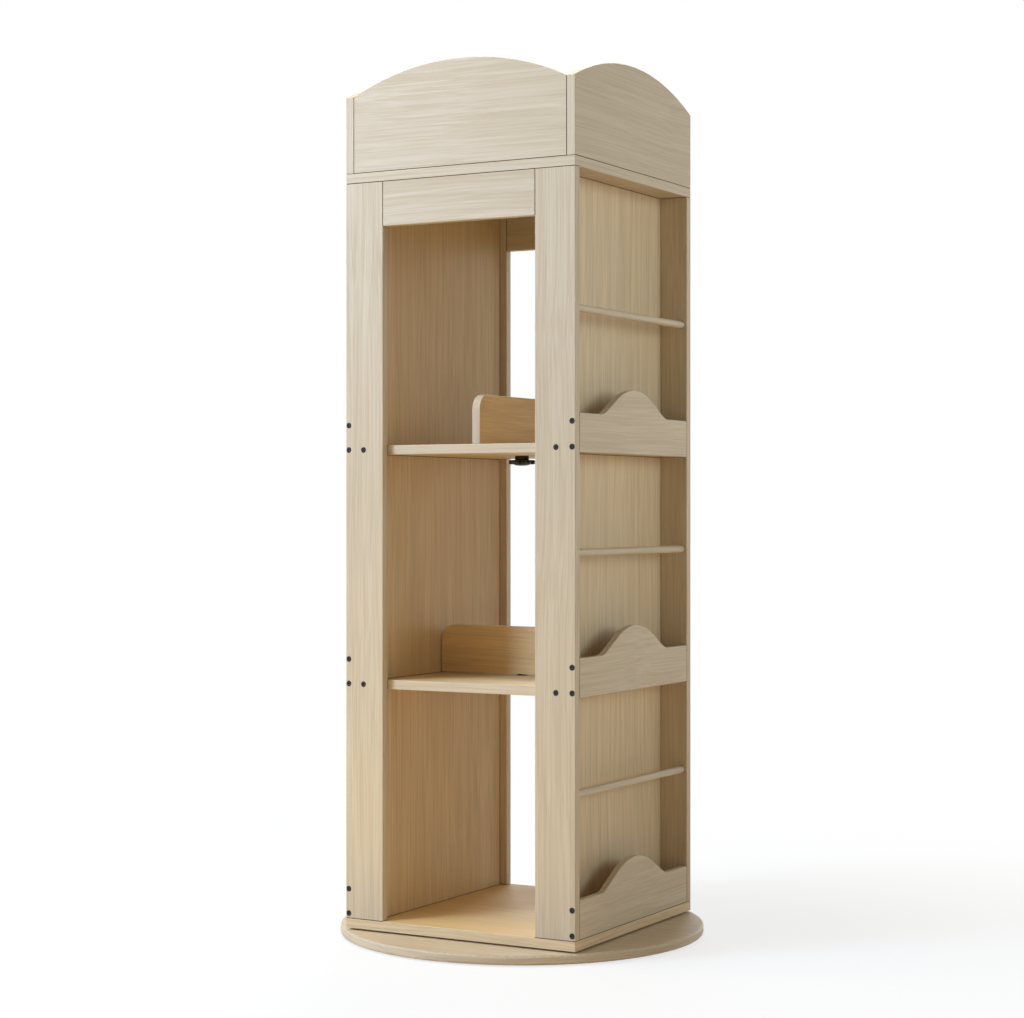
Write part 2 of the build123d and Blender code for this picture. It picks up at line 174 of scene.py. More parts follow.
class BookcaseHardware(bpy.types.PropertyGroup):
    """Sizes and colours of the screws and the clamp knobs."""

    socket_width: bpy.props.FloatProperty(
        name="Socket width", description="Across the flats of the stile screws' hex socket",
        unit="LENGTH", default=3.0 * MM,
    )
    socket_depth: bpy.props.FloatProperty(
        name="Socket depth", description="Depth of the stile screws' hex socket",
        unit="LENGTH", default=1.6 * MM,
    )
    stile_head: bpy.props.FloatProperty(
        name="Stile screw head", description="Diameter of a stile screw's head",
        unit="LENGTH", default=7.6 * MM,
    )
    stile_head_height: bpy.props.FloatProperty(
        name="Stile screw head height", description="Height of a stile screw's head",
        unit="LENGTH", default=2.4 * MM,
    )
    stile_shank: bpy.props.FloatProperty(
        name="Stile screw shank", description="Diameter of a stile screw's shank",
        unit="LENGTH", default=4.5 * MM,
    )
    flat_shank: bpy.props.FloatProperty(
        name="Countersunk shank", description="Diameter of a countersunk screw's shank",
        unit="LENGTH", default=4.0 * MM,
    )
    flat_head_depth: bpy.props.FloatProperty(
        name="Countersunk head depth", description="Depth of a countersunk screw's head",
        unit="LENGTH", default=2.2 * MM,
    )
    screw_colour: bpy.props.FloatVectorProperty(
        name="Stile screws", description="Black oxide of the stile screws",
        subtype="COLOR", min=0.0, max=1.0, default=(0.020, 0.018, 0.017),
    )
    screw_rub: bpy.props.FloatVectorProperty(
        name="Stile screw rub", description="Bare steel where the driver rubs a stile screw",
        subtype="COLOR", min=0.0, max=1.0, default=(0.085, 0.078, 0.070),
    )
    knob_colour: bpy.props.FloatVectorProperty(
        name="Knob plastic", description="Black moulded plastic of the clamp knobs",
        subtype="COLOR", min=0.0, max=1.0, default=(0.016, 0.014, 0.013),
    )
    knob_diameter: bpy.props.FloatProperty(
        name="Knob diameter", description="Across the lobes of a clamp knob",
        unit="LENGTH", default=36.0 * MM,
    )
    knob_height: bpy.props.FloatProperty(
        name="Knob height", description="Whole height of a clamp knob",
        unit="LENGTH", default=node_size("upper_knob").z,
    )
    knob_lobes: bpy.props.IntProperty(
        name="Knob lobes", description="Number of lobes of a clamp knob", min=3, max=12, default=6,
    )


class BookcaseStudio(bpy.types.PropertyGroup):
    """Camera, lamps and floor."""

    camera_place: bpy.props.FloatVectorProperty(
        name="Camera", description="Where the camera stands",
        subtype="TRANSLATION", default=(1.51865, -2.73022, 0.58304),
    )
    camera_turn: bpy.props.FloatProperty(
        name="Camera turn", description="Turn of the level camera from looking along +Y",
        subtype="ANGLE", default=math.radians(29.3386),
    )
    focal_length: bpy.props.FloatProperty(
        name="Focal length", description="Focal length on a sensor 36 mm wide",
        unit="CAMERA", default=79.45,
    )
    floor_colour: bpy.props.FloatVectorProperty(
        name="Floor", description="Pale floor under the bookcase",
        subtype="COLOR", min=0.0, max=1.0, default=(0.720, 0.520, 0.310),
    )
    ambient: bpy.props.FloatVectorProperty(
        name="Room light", description="Light from all round",
        subtype="COLOR", min=0.0, soft_max=2.0, default=(0.127, 0.107, 0.084),
    )
    key_light: bpy.props.FloatVectorProperty(
        name="Key light", description="Power of the softbox at the front left, by colour",
        subtype="COLOR", min=0.0, soft_max=200.0, default=(53.5, 75.5, 106.5),
    )
    bounce_light: bpy.props.FloatVectorProperty(
        name="Bounce light", description="Power of the warm panel on the floor in front, by colour",
        subtype="COLOR", min=0.0, soft_max=50.0, default=(1.9, 1.45, 0.38),
    )
    side_light: bpy.props.FloatVectorProperty(
        name="Side light", description="Power of the softbox at the right, by colour",
        subtype="COLOR", min=0.0, soft_max=200.0, default=(3.4, 4.1, 4.6),
    )
    top_light: bpy.props.FloatVectorProperty(
        name="Top light", description="Power of the softbox overhead, by colour",
        subtype="COLOR", min=0.0, soft_max=200.0, default=(49.5, 44.5, 35.0),
    )
    back_light: bpy.props.FloatVectorProperty(
        name="Back light", description="Power of the high softbox behind, by colour",
        subtype="COLOR", min=0.0, soft_max=200.0, default=(28.0, 33.0, 38.0),
    )
    rear_light: bpy.props.FloatVectorProperty(
        name="Rear light", description="Power of the softbox behind, by colour",
        subtype="COLOR", min=0.0, soft_max=200.0, default=(12.6, 11.1, 9.1),
    )


# Node helpers

def put_node(tree, kind, inputs=None, **settings):
    """A new node with its settings made and its inputs set to values or linked to sockets."""
    node = tree.nodes.new(kind)
    for name, value in settings.items():
        setattr(node, name, value)
    for name, value in (inputs or {}).items():
        if isinstance(value, bpy.types.NodeSocket):
            tree.links.new(value, node.inputs[name])
        else:
            node.inputs[name].default_value = value
    return node


def math_of(tree, operation, first, second=0.0):
    """The result of a Math node."""
    return put_node(tree, "ShaderNodeMath", {0: first, 1: second}, operation=operation).outputs[0]


def vector_of(tree, operation, first, second=(0.0, 0.0, 0.0), output="Vector"):
    """The result of a Vector Math node."""
    node = put_node(tree, "ShaderNodeVectorMath", {0: first, 1: second}, operation=operation)
    return node.outputs[output]


def ramp_of(tree, value, start, end, low=0.0, high=1.0):
    """A smooth ramp of a value from low at start to high at end."""
    inputs = {"Value": value, "From Min": start, "From Max": end, "To Min": low, "To Max": high}
    node = put_node(tree, "ShaderNodeMapRange", inputs, interpolation_type="SMOOTHSTEP")
    return node.outputs["Result"]


def blend_of(tree, factor, first, second, way="MIX"):
    """A blend of two colours."""
    inputs = {0: factor, 6: as_colour(first), 7: as_colour(second)}
    return put_node(tree, "ShaderNodeMix", inputs, data_type="RGBA", blend_type=way).outputs[2]


def as_colour(value):
    """A colour with its alpha, or a socket as it is."""
    return value if isinstance(value, bpy.types.NodeSocket) else (*value[:3], 1.0)


def noise_of(tree, vector, scale=1.0, detail=2.0, roughness=0.5):
    """The value of a noise texture."""
    inputs = {"Vector": vector, "Scale": scale, "Detail": detail, "Roughness": roughness}
    return put_node(tree, "ShaderNodeTexNoise", inputs).outputs["Fac"]


# Shader groups that several finishes share

VALUE, VECTOR = "NodeSocketFloat", "NodeSocketVector"


def open_group(name, inputs, outputs):
    """A new shader group with its sockets: the tree, its inputs and its output node."""
    tree = bpy.data.node_groups.new(name, "ShaderNodeTree")
    for socket, (kind, default) in inputs.items():
        made = tree.interface.new_socket(name=socket, in_out="INPUT", socket_type=kind)
        made.default_value = default
    for socket in outputs:
        tree.interface.new_socket(name=socket, in_out="OUTPUT", socket_type=VALUE)
    given = tree.nodes.new("NodeGroupInput").outputs
    return tree, given, tree.nodes.new("NodeGroupOutput")


def close_group(tree, result, values):
    """Links the values to the group's outputs."""
    for socket, value in values.items():
        tree.links.new(value, result.inputs[socket])


def stretched(tree, vector, along, across):
    """A vector scaled by one frequency along the grain and another across it."""
    scale = put_node(tree, "ShaderNodeCombineXYZ", {"X": along, "Y": across, "Z": across})
    return vector_of(tree, "MULTIPLY", vector, scale.outputs[0])


def make_grain_group():
    """Tone bands, fine fibre lines, stronger streaks and pores of straight-grained wood along X."""
    inputs = {
        "Vector": (VECTOR, (0.0, 0.0, 0.0)),
        "Fibre Width": (VALUE, 0.002),
        "Band Width": (VALUE, 0.014),
    }
    outputs = ("Bands", "Fibres", "Streaks", "Pores")
    tree, given, result = open_group("Straight grain", inputs, outputs)
    wander = {"Vector": given["Vector"], "Scale": 3.0, "Detail": 1.0}
    sway = put_node(tree, "ShaderNodeTexNoise", wander)
    sway = vector_of(tree, "SUBTRACT", sway.outputs["Color"], (0.5, 0.5, 0.5))
    sway = vector_of(tree, "MULTIPLY", sway, (0.0, 0.016, 0.016))
    place = vector_of(tree, "ADD", given["Vector"], sway)
    band_count = math_of(tree, "DIVIDE", 1.0, given["Band Width"])
    line_count = math_of(tree, "DIVIDE", 1.0, given["Fibre Width"])
    fine_count = math_of(tree, "MULTIPLY", line_count, 2.2)
    streak_count = math_of(tree, "MULTIPLY", line_count, 0.45)
    bands = noise_of(tree, stretched(tree, place, 2.2, band_count), detail=2.0, roughness=0.6)
    lines = noise_of(tree, stretched(tree, place, 4.0, line_count), detail=1.0, roughness=0.6)
    fine = noise_of(tree, stretched(tree, place, 7.0, fine_count), detail=0.0)
    streaks = noise_of(tree, stretched(tree, place, 3.0, streak_count), detail=2.0, roughness=0.6)
    dashes = noise_of(tree, stretched(tree, place, 24.0, fine_count), detail=0.0)
    lines = math_of(tree, "MULTIPLY", ramp_of(tree, lines, 0.42, 0.60), 0.6)
    fine = math_of(tree, "MULTIPLY", ramp_of(tree, fine, 0.40, 0.60), 0.4)
    close_group(tree, result, {
        "Bands": ramp_of(tree, bands, 0.32, 0.68),
        "Fibres": math_of(tree, "ADD", lines, fine),
        "Streaks": ramp_of(tree, streaks, 0.54, 0.72),
        "Pores": ramp_of(tree, dashes, 0.7, 0.84),
    })


def make_facing_group():
    """Mask of the faces that look along an axis, either way."""
    inputs = {"Normal": (VECTOR, (0.0, 0.0, 1.0)), "Axis": (VECTOR, (0.0, 0.0, 1.0))}
    tree, given, result = open_group("Facing axis", inputs, ("Mask",))
    lean = vector_of(tree, "DOT_PRODUCT", given["Normal"], given["Axis"], "Value")
    lean = math_of(tree, "ABSOLUTE", lean)
    close_group(tree, result, {"Mask": math_of(tree, "GREATER_THAN", lean, FACING_LIMIT)})


def make_edge_group():
    """Masks of a board's eased edges, whole and broken up as rubbing leaves them; the broken-up
    mask lightens edges, partly as wear and partly as painted highlight.
    """
    inputs = {
        "Normal": (VECTOR, (0.0, 0.0, 1.0)),
        "Thickness Axis": (VECTOR, (0.0, 0.0, 1.0)),
        "Vector": (VECTOR, (0.0, 0.0, 0.0)),
    }
    tree, given, result = open_group("Rubbed edge", inputs, ("Ease", "Mask"))
    lean = vector_of(tree, "DOT_PRODUCT", given["Normal"], given["Thickness Axis"], "Value")
    lean = math_of(tree, "ABSOLUTE", lean)
    rise = ramp_of(tree, lean, 0.2, 0.45)
    fall = ramp_of(tree, lean, 0.86, 0.985, 1.0, 0.0)
    patches = ramp_of(tree, noise_of(tree, given["Vector"], 24.0, 3.0), 0.3, 0.65, 0.35, 1.0)
    ease = math_of(tree, "MULTIPLY", rise, fall)
    close_group(tree, result, {"Ease": ease, "Mask": math_of(tree, "MULTIPLY", ease, patches)})


def make_joint_group():
    """Mask of painted shade in the joints where boards meet, from an ambient occlusion test."""
    tree, given, result = open_group("Joint shade", {"Reach": (VALUE, 0.002)}, ("Mask",))
    cover = put_node(tree, "ShaderNodeAmbientOcclusion", {"Distance": given["Reach"]}, samples=4)
    close_group(tree, result, {"Mask": ramp_of(tree, cover.outputs["AO"], 0.94, 0.76)})


def make_dust_group():
    """Mask of a thin, patchy film of dust on faces that look up."""
    inputs = {"Normal": (VECTOR, (0.0, 0.0, 1.0)), "Vector": (VECTOR, (0.0, 0.0, 0.0))}
    tree, given, result = open_group("Settled dust", inputs, ("Mask",))
    level = vector_of(tree, "DOT_PRODUCT", given["Normal"], AXES["Z"], "Value")
    level = ramp_of(tree, level, 0.8, 0.99)
    cloud = ramp_of(tree, noise_of(tree, given["Vector"], 9.0, 4.0, 0.6), 0.35, 0.75, 0.2, 1.0)
    close_group(tree, result, {"Mask": math_of(tree, "MULTIPLY", level, cloud)})


def make_speckle_group():
    """Fine even texture of moulded, cast or pressed surfaces, with broad blotches."""
    inputs = {"Vector": (VECTOR, (0.0, 0.0, 0.0)), "Grain Size": (VALUE, 0.0004)}
    tree, given, result = open_group("Fine speckle", inputs, ("Speckle", "Blotch"))
    count = math_of(tree, "DIVIDE", 1.0, given["Grain Size"])
    speckle = noise_of(tree, given["Vector"], count, 2.0, 0.6)
    blotch = noise_of(tree, given["Vector"], math_of(tree, "MULTIPLY", count, 0.06), 2.0)
    close_group(tree, result, {
        "Speckle": ramp_of(tree, speckle, 0.3, 0.7),
        "Blotch": ramp_of(tree, blotch, 0.3, 0.7),
    })


def make_turning_group():
    """Fine rings that a lathe leaves round the Z axis."""
    inputs = {"Vector": (VECTOR, (0.0, 0.0, 0.0)), "Pitch": (VALUE, 0.0003)}
    tree, given, result = open_group("Turned rings", inputs, ("Rings",))
    parts = put_node(tree, "ShaderNodeSeparateXYZ", {"Vector": given["Vector"]})
    level = {"X": parts.outputs["X"], "Y": parts.outputs["Y"]}
    flat = put_node(tree, "ShaderNodeCombineXYZ", level)
    reach = vector_of(tree, "LENGTH", flat.outputs[0], output="Value")
    count = math_of(tree, "DIVIDE", 1.0, given["Pitch"])
    track = put_node(tree, "ShaderNodeCombineXYZ", {
        "X": math_of(tree, "MULTIPLY", reach, count),
        "Z": math_of(tree, "MULTIPLY", parts.outputs["Z"], count),
    })
    rings = ramp_of(tree, noise_of(tree, track.outputs[0]), 0.3, 0.7)
    close_group(tree, result, {"Rings": rings})


GROUP_MAKERS = {
    "Straight grain": make_grain_group,
    "Facing axis": make_facing_group,
    "Rubbed edge": make_edge_group,
    "Joint shade": make_joint_group,
    "Settled dust": make_dust_group,
    "Fine speckle": make_speckle_group,
    "Turned rings": make_turning_group,
}


def use_group(tree, name, inputs):
    """A shared group placed in a material; it is built the first time it is asked for."""
    if name not in bpy.data.node_groups:
        GROUP_MAKERS[name]()
    node = tree.nodes.new("ShaderNodeGroup")
    node.node_tree = bpy.data.node_groups[name]
    for socket, value in inputs.items():
        if isinstance(value, bpy.types.NodeSocket):
            tree.links.new(value, node.inputs[socket])
        else:
            node.inputs[socket].default_value = value
    return node.outputs


# Finishes

def open_finish(name):
    """A new material: its tree, its Principled shader and its texture coordinates."""
    material = bpy.data.materials.new(name)
    material.use_nodes = True
    tree = material.node_tree
    shader = tree.nodes["Principled BSDF"]
    return material, tree, shader, put_node(tree, "ShaderNodeTexCoord").outputs


def add_bump(tree, shader, height, depth, strength):
    """Small relief from a height value."""
    inputs = {"Height": height, "Distance": depth, "Strength": strength}
    bump = put_node(tree, "ShaderNodeBump", inputs)
    tree.links.new(bump.outputs["Normal"], shader.inputs["Normal"])


def turned_place(tree, coords, axis, seed):
    """Texture place with its X along an axis of the board, at a spot of its own in the texture."""
    inputs = {
        "Vector": coords["Object"], "Rotation": GRAIN_TURNS[axis],
        "Location": (0.37 * seed, 0.113 * seed, 0.071 * seed),
    }
    return put_node(tree, "ShaderNodeMapping", inputs).outputs["Vector"]


def rim_place(tree, coords):
    """Texture place with its X round the Z axis, for the rim of a disc."""
    parts = put_node(tree, "ShaderNodeSeparateXYZ", {"Vector": coords["Object"]}).outputs
    turn = math_of(tree, "ARCTAN2", parts["Y"], parts["X"])
    radius = node_size("base_disc").x / 2
    inputs = {"X": math_of(tree, "MULTIPLY", turn, radius), "Z": parts["Z"]}
    return put_node(tree, "ShaderNodeCombineXYZ", inputs).outputs["Vector"]


def board_place(tree, coords, grain, thickness, seed, face, round_rim):
    """Texture place along the grain, and on a board's ends along the banding that covers them."""
    along = turned_place(tree, coords, grain, seed)
    if round_rim:
        inputs = {0: face, 4: rim_place(tree, coords), 5: along}
    else:
        facing = {"Normal": coords["Normal"], "Axis": AXES[grain]}
        end = use_group(tree, "Facing axis", facing)["Mask"]
        band = next(axis for axis in AXES if axis not in (grain, thickness))
        inputs = {0: end, 4: along, 5: turned_place(tree, coords, band, seed)}
    return put_node(tree, "ShaderNodeMix", inputs, data_type="VECTOR").outputs[1]


def wood_finish(
    name, grain, thickness, seed, figure=1.0, coarse=1.0,
    tint=PLAIN, edge_tint=PLAIN, round_rim=False,
):
    """Straight-grained board with rubbed edges that are partly painted highlight, dust, painted
    shade in its joints, and tints that partly hold painted light.
    """
    wood = bpy.context.scene.bookcase_wood
    material, tree, shader, coords = open_finish(name)
    facing = {"Normal": coords["Normal"], "Axis": AXES[thickness]}
    face = use_group(tree, "Facing axis", facing)["Mask"]
    place = board_place(tree, coords, grain, thickness, seed, face, round_rim)
    cut = use_group(tree, "Straight grain", {
        "Vector": place,
        "Fibre Width": coarse * wood.fibre_width,
        "Band Width": coarse * wood.band_width,
    })
    edges = use_group(tree, "Rubbed edge", {
        "Normal": coords["Normal"], "Thickness Axis": AXES[thickness], "Vector": place,
    })
    rub = edges["Mask"]
    dust = use_group(tree, "Settled dust", {
        "Normal": coords["Normal"], "Vector": coords["Object"],
    })["Mask"]
    # Painted shade: the occlusion test darkens joints on eased edges fully and plain inside corners
    # by a smaller share
    joint = use_group(tree, "Joint shade", {"Reach": wood.joint_reach})["Mask"]
    spread = math_of(tree, "MAXIMUM", edges["Ease"], CORNER_SHARE)
    joint = math_of(tree, "MULTIPLY", joint, spread)
    colour = blend_of(tree, cut["Bands"], wood.pale, wood.body)
    # Painted light: the face and edge tints lay warm bounce light and shade into the colour,
    # besides the board's own tone
    tints_and_painted_light = blend_of(tree, face, edge_tint, tint)
    colour = blend_of(tree, 1.0, colour, tints_and_painted_light, "MULTIPLY")
    layers = (
        (cut["Fibres"], FIBRE_SHARE * figure, wood.streak),
        (cut["Streaks"], STREAK_SHARE * figure, wood.streak),
        (cut["Pores"], PORE_SHARE * figure, wood.pore),
        # Eased edges lightened, partly as wear and partly as painted highlight
        (rub, RUB_AND_HIGHLIGHT_SHARE, wood.edge),
        (dust, DUST_SHARE, wood.dust),
        (joint, PAINTED_JOINT_SHADE_SHARE, wood.joint),
    )
    for mask, share, layer in layers:
        colour = blend_of(tree, math_of(tree, "MULTIPLY", mask, share), colour, layer)
    tree.links.new(colour, shader.inputs["Base Color"])
    gloss = ramp_of(tree, cut["Fibres"], 0.0, 1.0, wood.roughness - 0.05, wood.roughness + 0.07)
    gloss = math_of(tree, "ADD", gloss, math_of(tree, "MULTIPLY", dust, 0.12))
    tree.links.new(gloss, shader.inputs["Roughness"])
    relief = math_of(tree, "ADD", cut["Fibres"], cut["Pores"])
    add_bump(tree, shader, relief, GRAIN_DEPTH, 0.35)
    shader.inputs["Specular IOR Level"].default_value = 0.35
    return material


def plastic_finish(name, colour, roughness):
    """Moulded plastic with a fine texture and faint handling marks."""
    material, tree, shader, coords = open_finish(name)
    parts = use_group(tree, "Fine speckle", {"Vector": coords["Object"], "Grain Size": 0.0004})
    bright = tuple(1.7 * part + 0.004 for part in colour)
    tree.links.new(blend_of(tree, parts["Blotch"], colour, bright), shader.inputs["Base Color"])
    gloss = ramp_of(tree, parts["Blotch"], 0.0, 1.0, roughness - 0.06, roughness + 0.08)
    tree.links.new(gloss, shader.inputs["Roughness"])
    add_bump(tree, shader, parts["Speckle"], 0.00004, 0.35)
    return material


def metal_finish(name, colour, rub, roughness):
    """Metal with turning marks, blotchy plating and lighter rubbed places."""
    material, tree, shader, coords = open_finish(name)
    marks = use_group(tree, "Turned rings", {"Vector": coords["Object"], "Pitch": 0.0003})["Rings"]
    parts = use_group(tree, "Fine speckle", {"Vector": coords["Object"], "Grain Size": 0.0006})
    rubbed = math_of(tree, "MULTIPLY", parts["Blotch"], marks)
    tree.links.new(blend_of(tree, rubbed, colour, rub), shader.inputs["Base Color"])
    gloss = ramp_of(tree, parts["Speckle"], 0.0, 1.0, roughness - 0.05, roughness + 0.1)
    tree.links.new(gloss, shader.inputs["Roughness"])
    add_bump(tree, shader, marks, 0.00002, 0.3)
    shader.inputs["Metallic"].default_value = 1.0
    return material


def screw_finish(name):
    """Black oxide screw steel, rubbed lighter in and round the socket."""
    hardware = bpy.context.scene.bookcase_hardware
    material, tree, shader, coords = open_finish(name)
    parts = use_group(tree, "Fine speckle", {"Vector": coords["Object"], "Grain Size": 0.0005})
    rub = put_node(tree, "ShaderNodeAttribute", attribute_name="socket_rub").outputs["Fac"]
    worn = math_of(tree, "MULTIPLY", rub, ramp_of(tree, parts["Speckle"], 0.0, 1.0, 0.55, 1.0))
    colour = blend_of(tree, worn, hardware.screw_colour, hardware.screw_rub)
    tree.links.new(colour, shader.inputs["Base Color"])
    gloss = ramp_of(tree, parts["Blotch"], 0.0, 1.0, 0.46, 0.62)
    tree.links.new(gloss, shader.inputs["Roughness"])
    add_bump(tree, shader, parts["Speckle"], 0.00003, 0.4)
    shader.inputs["Specular IOR Level"].default_value = 0.22
    return material


def felt_finish(name):
    """Pressed felt with a fibrous, matt face."""
    material, tree, shader, coords = open_finish(name)
    parts = use_group(tree, "Fine speckle", {"Vector": coords["Object"], "Grain Size": 0.0007})
    colour = blend_of(tree, parts["Speckle"], (0.10, 0.085, 0.07), (0.20, 0.175, 0.15))
    tree.links.new(colour, shader.inputs["Base Color"])
    add_bump(tree, shader, parts["Speckle"], 0.0004, 0.8)
    shader.inputs["Roughness"].default_value = 0.95
    shader.inputs["Sheen Weight"].default_value = 0.3
    return material


def dress(node, material):
    """Gives a CAD node its finish."""
    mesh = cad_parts[node].data
    mesh.materials.clear()
    mesh.materials.append(material)


def dress_boards(names, grain, thickness, first_seed, figure=1.0, tint=PLAIN, **options):
    """Gives each board of a family its own cut of the wood, a little lighter or darker in turn."""
    for count, name in enumerate(names):
        shade = BOARD_SHADES[count % len(BOARD_SHADES)]
        # The family tint holds painted light and shade as well as the board's own tone
        options["tint"] = tuple(shade * part for part in tint)
        seed = first_seed + count
        dress(name, wood_finish(f"wood_{name}", grain, thickness, seed, figure, **options))


# Forms made of rings round an axis

def arc_points(centre, radii, start, end, steps):
    """Points on an ellipse's arc, angles in degrees."""
    turns = [math.radians(start + (end - start) * step / steps) for step in range(steps + 1)]
    return [
        (centre[0] + radii[0] * math.cos(turn), centre[1] + radii[1] * math.sin(turn))
        for turn in turns
    ]


def loft(rings, segments):
    """Points and faces of a closed form; a ring is a radius or an outline, and its height."""
    turns = [2 * math.pi * step / segments for step in range(segments)]
    points = []
    for outline, height in rings:
        for turn in turns:
            radius = outline(turn) if callable(outline) else outline
            points.append((radius * math.cos(turn), radius * math.sin(turn), height))
    faces = [tuple(reversed(range(segments)))]
    for ring, step in itertools.product(range(len(rings) - 1), range(segments)):
        near, far = ring * segments, (ring + 1) * segments
        after = (step + 1) % segments
        faces.append((near + step, near + after, far + after, far + step))
    faces.append(tuple(range((len(rings) - 1) * segments, len(rings) * segments)))
    return points, faces


def hex_outline(width):
    """Outline of a hexagon of that width across its flats."""
    sixth = math.pi / 3
    return lambda turn: width / 2 / math.cos((turn + sixth / 2) % sixth - sixth / 2)


def cross_outline(length, width):
    """Outline of a cross recess of that length and arm width."""
    def radius(turn):
        lean = (turn + math.pi / 4) % (math.pi / 2) - math.pi / 4
        return min(length / 2 / math.cos(lean), width / 2 / max(abs(math.sin(lean)), 1e-6))
    return radius


def socket_screw_rings(hardware, length):
    """Button head with a hex socket over a plain shank; the head's top is at height 0."""
    head, shank = hardware.stile_head / 2, hardware.stile_shank / 2
    socket = hex_outline(hardware.socket_width)
    mouth = 0.62 * hardware.socket_width
    dome, soft = 0.35 * MM, 1.25 * MM
    brow = arc_points((0, 0), (soft, dome), 75, 0, 6)
    return [
        (lambda turn: 0.35 * socket(turn), -hardware.socket_depth - 0.25 * MM),
        (lambda turn: 0.96 * socket(turn), -hardware.socket_depth),
        (socket, -0.25 * MM),
        (lambda turn: max(socket(turn), mouth), -0.04 * MM),
        (1.15 * mouth, 0.0),
        *[(head - soft + r, -dome + z) for r, z in brow],
        (head, -hardware.stile_head_height),
        (shank, -hardware.stile_head_height),
        (shank, -length + POINT_LENGTH),
        (POINT_SHARE * shank, -length),
    ]


def flat_screw_rings(hardware, head, length):
    """Countersunk head with a cross recess over a plain shank; the head's top is at height 0."""
    shank = hardware.flat_shank / 2
    mouth = cross_outline(1.15 * head, 0.26 * head)
    return [
        (lambda turn: 0.45 * mouth(turn), -0.8 * hardware.flat_head_depth),
        (lambda turn: 0.85 * mouth(turn), -0.35 * hardware.flat_head_depth),
        (mouth, -0.03 * MM),
        (lambda turn: max(1.04 * mouth(turn), 0.3 * head), 0.0),
        (0.8 * head, 0.0),
        (head - 0.12 * MM, 0.0),
        (head, -0.12 * MM),
        (shank, -hardware.flat_head_depth),
        (shank, -length + POINT_LENGTH),
        (POINT_SHARE * shank, -length),
    ]


def solid_boxes(node):
    """The box of each separate solid of a CAD node."""
    form = bmesh.new()
    form.from_mesh(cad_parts[node].data)
    bmesh.ops.remove_doubles(form, verts=form.verts, dist=0.001 * MM)
    left = set(form.verts)
    boxes = []
    for first in form.verts:
        if first not in left:
            continue
        left.discard(first)
        reach = [first]
        for corner in reach:
            for edge in corner.link_edges:
                other = edge.other_vert(corner)
                if other in left:
                    left.discard(other)
                    reach.append(other)
        axes = list(zip(*(corner.co for corner in reach)))
        boxes.append((Vector(map(min, axes)), Vector(map(max, axes))))
    form.free()
    return sorted(boxes, key=lambda box: tuple(round(part, 5) for part in box[0]))


def new_piece(name, points, faces, material, body, nodes):
    """A mesh piece that stands for CAD nodes and rides on their body."""
    mesh = bpy.data.meshes.new(name)
    mesh.from_pydata(points, [], faces)
    form = bmesh.new()
    form.from_mesh(mesh)
    bmesh.ops.recalc_face_normals(form, faces=form.faces)
    form.to_mesh(mesh)
    form.free()
    mesh.shade_smooth()
    mesh.set_sharp_from_angle(angle=SHARP_ANGLE)
    mesh.materials.append(material)
    piece = bpy.data.objects.new(name, mesh)
    bpy.context.scene.collection.objects.link(piece)
    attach(piece, body)
    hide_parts(*nodes)
    return piece


def place_screws(node, rings_of, head_direction):
    """Points and faces of all screws of a node, each with its drive turned its own way."""
    points, faces = [], []
    for count, (low, high) in enumerate(solid_boxes(node)):
        middle, size = (low + high) / 2, high - low
        direction = Vector(head_direction(middle))
        length = max(size)
        form, form_faces = loft(rings_of(min(size) / 2, length), SCREW_SEGMENTS)
        top = middle + direction * length / 2
        aim = Vector(AXES["Z"]).rotation_difference(direction).to_matrix().to_4x4()
        put = Matrix.Translation(top) @ aim @ Matrix.Rotation(2.4 * count, 4, "Z")
        first = len(points)
        points += [put @ Vector(point) for point in form]
        faces += [tuple(first + index for index in face) for face in form_faces]
    return points, faces


def star_outline(hardware, inset):
    """Outline of the knob's lobed plate, set in by a margin."""
    sector = 2 * math.pi / hardware.knob_lobes
    lobe = 0.14 * hardware.knob_diameter
    ring = hardware.knob_diameter / 2 - lobe
    blend = 0.08 * hardware.knob_diameter

    def radius(turn):
        lean = turn % sector - sector / 2
        inside = lobe**2 - (ring * math.sin(lean)) ** 2
        tip = ring * math.cos(lean) + math.sqrt(inside) if inside > 0 else 0.0
        melt = max(blend - abs(ring - tip), 0.0) / blend
        return max(ring, tip) + melt * melt * blend / 4 - inset
    return radius


def knob_rings(hardware):
    """Clamp knob from its top at height 0: barrel collar, lobed plate with a parting line, dome."""
    collar, neck = 10.0 * MM, 8.7 * MM
    plate_top, plate_low = -5.5 * MM, -11.5 * MM
    soft = 1.2 * MM
    dome, dome_rise = 11.3 * MM, hardware.knob_height + plate_low
    parting = (plate_top + plate_low) / 2
    rings = [(3.2 * MM, 0.0), (neck - 0.4 * MM, 0.0)]
    barrel = arc_points((0, 0), (collar - neck, 2.6 * MM), 80, -65, 10)
    rings += [(neck + r, -2.75 * MM + z) for r, z in barrel]
    rings += [(9.7 * MM, plate_top + 0.1 * MM), (10.3 * MM, plate_top)]
    rings += [
        (star_outline(hardware, soft - r), plate_top - soft + z)
        for r, z in arc_points((0, 0), (soft, soft), 90, 0, 5)
    ]
    rings += [
        (star_outline(hardware, 0.0), parting + 0.25 * MM),
        (star_outline(hardware, -0.12 * MM), parting),
        (star_outline(hardware, 0.0), parting - 0.25 * MM),
    ]
    rings += [
        (star_outline(hardware, soft - r), plate_low + soft + z)
        for r, z in arc_points((0, 0), (soft, soft), 0, -90, 5)
    ]
    rings += [(dome + 0.15 * MM, plate_low), (dome - 0.1 * MM, plate_low + 0.3 * MM)]
    cap = arc_points((0, 0), (dome - 0.4 * MM, dome_rise), 0, 84, 9)
    rings += [(r, plate_low - z) for r, z in cap]
    return rings


# Operators, one for each group of like pieces and one for the stage

